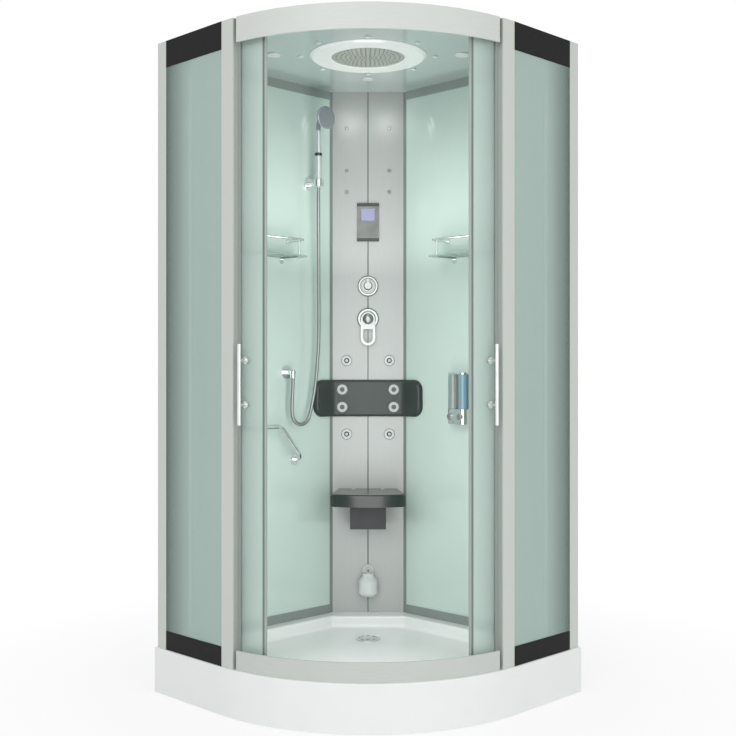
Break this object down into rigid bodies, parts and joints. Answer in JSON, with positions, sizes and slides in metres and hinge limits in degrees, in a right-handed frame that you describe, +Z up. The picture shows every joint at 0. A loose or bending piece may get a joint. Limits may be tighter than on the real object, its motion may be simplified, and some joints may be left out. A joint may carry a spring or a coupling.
{
  "type": "steam shower cabin",
  "caption": "Corner steam shower cabin with a curved two-leaf sliding glass door, fittings column, folding seat, rain shower, shelves and a low tray.",
  "frame": {"origin": "on the floor, at the centre of the overall box, seen from above", "axes": "+Z up; the curved door faces -Y and the room's corner lies on +Y; +X to the right, seen from the front"},
  "size_m": [1.4142, 1.145, 2.15],
  "materials": {
    "acrylic_white": "glossy white sanitary acrylic",
    "roof_grey": "glossy light grey acrylic",
    "anodised": "satin light anodised",
    "clear_side_glass": "toughened, satin tint, printed dark bands",
    "door_glass": "toughened, satin tint",
    "lacquered_glass": "back-lacquered pale green, smooth",
    "column_metal": "brushed, satin",
    "trim_dark": "satin dark grey",
    "mirror_panel": "smooth grey mirror",
    "display": "pale lavender display, blank",
    "chrome": "bright chrome plate",
    "brass_raw": "cast and turned, plain",
    "steel_galvanised": "galvanised",
    "steel_bright": "turned stainless",
    "pad_slate": "soft grained foam skin",
    "seat_dark": "fine grained dark grey",
    "plastic_pale": "smooth pale grey",
    "plastic_black": "moulded black",
    "shower_white": "smooth white",
    "nozzle_grey": "fine nozzle face",
    "seal_pale": "soft translucent seal",
    "shelf_glass": "clear toughened",
    "reservoir_blue": "tinted window",
    "hose_metal": "spiral chromed hose",
    "roller_white": "acetal"
  },
  "bodies": {
    "cabin": {"shower_tray": "acrylic_white", "front_apron": "acrylic_white", "base_frame": "steel_galvanised", "levelling_feet": "steel_galvanised", "drain_trap": "plastic_black", "side_posts": "anodised", "top_rail": "anodised", "bottom_rail": "anodised", "straight_rails": "anodised", "side_glass": "clear_side_glass", "wall_panels": "lacquered_glass", "column_panels": "column_metal", "column_trims": "trim_dark", "control_panel": "mirror_panel", "control_display": "display", "diverter_valve": "chrome", "mixer_valve": "chrome", "column_jets": "plastic_pale", "backrest": "pad_slate", "backrest_jets": "plastic_pale", "seat_bracket": "seat_dark", "steam_outlet": "plastic_pale", "steam_generator": "steel_galvanised", "supply_pipes": "brass_raw", "roof_panel": "roof_grey", "roof_fittings": "plastic_pale", "rain_shower_ring": "shower_white", "rain_shower_face": "nozzle_grey", "shelf_plates": "shelf_glass", "shelf_rails": "chrome", "grab_rail": "chrome", "soap_dispenser": "chrome", "soap_reservoir": "reservoir_blue", "shower_fittings": "chrome", "shower_hose": "hose_metal"},
    "door_left": {"door_glass_left": "door_glass", "door_seals_left": "seal_pale", "door_handle_left": "chrome", "door_carriages_left": "steel_bright"},
    "door_right": {"door_glass_right": "door_glass", "door_seals_right": "seal_pale", "door_handle_right": "chrome", "door_carriages_right": "steel_bright"},
    "wheel_1": {"door_wheel_1": "roller_white"},
    "wheel_2": {"door_wheel_2": "roller_white"},
    "wheel_3": {"door_wheel_3": "roller_white"},
    "wheel_4": {"door_wheel_4": "roller_white"},
    "seat": {"seat_panel": "seat_dark"},
    "mixer_turn": {"mixer_hub": "chrome"},
    "mixer_loop": {"mixer_lever": "chrome"},
    "diverter": {"diverter_knob": "chrome"},
    "jet_1": {"jet_nozzle_1": "plastic_pale"},
    "jet_2": {"jet_nozzle_2": "plastic_pale"},
    "jet_3": {"jet_nozzle_3": "plastic_pale"},
    "jet_4": {"jet_nozzle_4": "plastic_pale"},
    "handset": {"hand_shower": "chrome"},
    "soap_push_1": {"soap_button_1": "chrome"},
    "soap_push_2": {"soap_button_2": "chrome"},
    "herb_cup": {"aroma_cup": "plastic_pale"},
    "drain_lid": {"drain_cover": "chrome"}
  },
  "joints": [
    {"name": "door_left_slide", "type": "hinge", "parent": "cabin", "child": "door_left", "pos_m": [0, 0.07751, 1.1], "axis": [0, 0, 1], "range_deg": [0, 30.4]},
    {"name": "door_right_slide", "type": "hinge", "parent": "cabin", "child": "door_right", "pos_m": [0, 0.07751, 1.1], "axis": [0, 0, -1], "range_deg": [0, 30.4]},
    {"name": "wheel_1_spin", "type": "hinge", "parent": "door_left", "child": "wheel_1", "pos_m": [-0.34127, -0.39393, 2.1163], "axis": [-0.5864, -0.81, 0], "range_deg": [-1475, 0]},
    {"name": "wheel_2_spin", "type": "hinge", "parent": "door_left", "child": "wheel_2", "pos_m": [-0.54996, -0.11293, 2.1163], "axis": [-0.9449, -0.3272, 0], "range_deg": [-1475, 0]},
    {"name": "wheel_3_spin", "type": "hinge", "parent": "door_right", "child": "wheel_3", "pos_m": [0.34127, -0.39393, 2.1163], "axis": [0.5864, -0.81, 0], "range_deg": [0, 1475]},
    {"name": "wheel_4_spin", "type": "hinge", "parent": "door_right", "child": "wheel_4", "pos_m": [0.54996, -0.11293, 2.1163], "axis": [0.9449, -0.3272, 0], "range_deg": [0, 1475]},
    {"name": "seat_fold", "type": "hinge", "parent": "cabin", "child": "seat", "pos_m": [0, 0.36447, 0.5975], "axis": [-1, 0, 0], "range_deg": [0, 90]},
    {"name": "mixer_temperature", "type": "hinge", "parent": "cabin", "child": "mixer_turn", "pos_m": [0, 0.36, 1.261], "axis": [0, -1, 0], "range_deg": [-45, 45]},
    {"name": "mixer_flow", "type": "hinge", "parent": "mixer_turn", "child": "mixer_loop", "pos_m": [0, 0.37598, 1.261], "axis": [-1, 0, 0], "range_deg": [0, 25]},
    {"name": "diverter_turn", "type": "hinge", "parent": "cabin", "child": "diverter", "pos_m": [0, 0.36, 1.385], "axis": [0, -1, 0], "range_deg": [-120, 120]},
    {"name": "jet_1_tilt", "type": "hinge", "parent": "cabin", "child": "jet_1", "pos_m": [-0.0805, 0.39448, 1.103], "axis": [1, 0, 0], "range_deg": [-15, 15]},
    {"name": "jet_2_tilt", "type": "hinge", "parent": "cabin", "child": "jet_2", "pos_m": [-0.0805, 0.39448, 0.825], "axis": [1, 0, 0], "range_deg": [-15, 15]},
    {"name": "jet_3_tilt", "type": "hinge", "parent": "cabin", "child": "jet_3", "pos_m": [0.0805, 0.39448, 1.103], "axis": [1, 0, 0], "range_deg": [-15, 15]},
    {"name": "jet_4_tilt", "type": "hinge", "parent": "cabin", "child": "jet_4", "pos_m": [0.0805, 0.39448, 0.825], "axis": [1, 0, 0], "range_deg": [-15, 15]},
    {"name": "handset_lift", "type": "slide", "parent": "cabin", "child": "handset", "axis": [0, 0, 1], "range_m": [0, 0.07], "deforming": ["shower_hose"]},
    {"name": "soap_push_in_1", "type": "slide", "parent": "cabin", "child": "soap_push_1", "axis": [0.7071, 0.7071, 0], "range_m": [0, 0.008], "stiffness_N_per_m": 400},
    {"name": "soap_push_in_2", "type": "slide", "parent": "cabin", "child": "soap_push_2", "axis": [0.7071, 0.7071, 0], "range_m": [0, 0.008], "stiffness_N_per_m": 400},
    {"name": "herb_cup_off", "type": "slide", "parent": "cabin", "child": "herb_cup", "axis": [0, -1, 0], "range_m": [0, 0.04]},
    {"name": "drain_lid_lift", "type": "slide", "parent": "cabin", "child": "drain_lid", "axis": [0, 0, 1], "range_m": [0, 0.03]}
  ],
  "couplings": [
    {"joint": "wheel_1_spin", "follows": "door_left_slide", "ratio": -48.5},
    {"joint": "wheel_2_spin", "follows": "door_left_slide", "ratio": -48.5},
    {"joint": "wheel_3_spin", "follows": "door_right_slide", "ratio": 48.5},
    {"joint": "wheel_4_spin", "follows": "door_right_slide", "ratio": 48.5}
  ]
}
